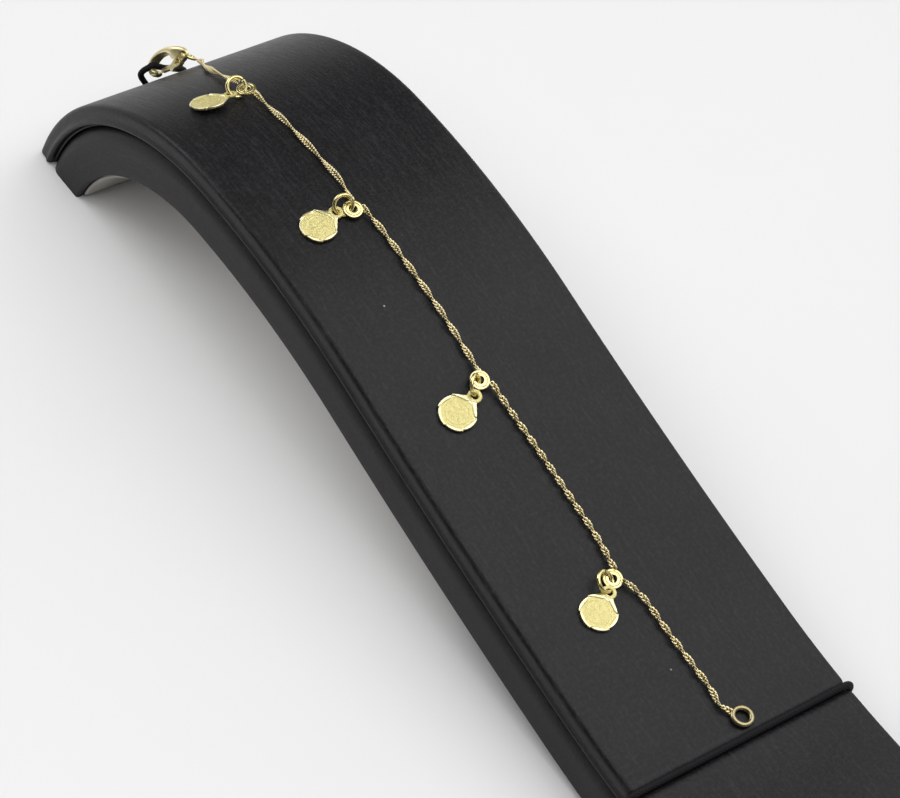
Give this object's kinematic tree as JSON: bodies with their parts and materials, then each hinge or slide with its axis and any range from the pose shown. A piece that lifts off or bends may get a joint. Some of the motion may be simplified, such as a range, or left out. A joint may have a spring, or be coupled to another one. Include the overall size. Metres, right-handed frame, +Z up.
{
  "type": "gold coin charm bracelet on a display ramp",
  "caption": "Gold-tone coin charm bracelet laid open along a curved charcoal leatherette display ramp, its clasp closed round an elastic loop and its end ring by an elastic cord.",
  "frame": {"origin": "middle of the whole box, on the floor", "axes": "+Y towards the high far foot, -Y towards the low near toe, +X to the right for someone looking from the toe, +Z up"},
  "size_m": [0.0512, 0.2102, 0.0415],
  "materials": {
    "board": "satin",
    "pad": "satin",
    "lining": "matte",
    "elastic": "matte",
    "chain_gold": "polished",
    "coin_gold": "satin",
    "ring_gold": "polished"
  },
  "bodies": {
    "display": {"stand_core": "board", "stand_pad": "pad", "underside_lining": "lining", "elastic_cord_near": "elastic", "elastic_loop_far": "elastic", "chain_1": "chain_gold", "chain_2": "chain_gold", "chain_3": "chain_gold", "chain_4": "chain_gold", "chain_5": "chain_gold", "connector_ring_1": "ring_gold", "jump_ring_1": "ring_gold", "coin_1": "coin_gold", "connector_ring_2": "ring_gold", "jump_ring_2": "ring_gold", "coin_2": "coin_gold", "connector_ring_3": "ring_gold", "jump_ring_3": "ring_gold", "coin_3": "coin_gold", "connector_ring_4": "ring_gold", "jump_ring_4": "ring_gold", "coin_4": "coin_gold", "end_ring": "ring_gold", "clasp_ring": "ring_gold", "clasp_body": "ring_gold"},
    "lever": {"clasp_lever": "ring_gold"}
  },
  "joints": [
    {"name": "clasp_lever", "type": "hinge", "parent": "display", "child": "lever", "pos_m": [0.00031, 0.09669, 0.02082], "axis": [0.8585, -0.0313, -0.5119], "range_deg": [0, 20], "stiffness_Nm_per_rad": 0.001}
  ]
}
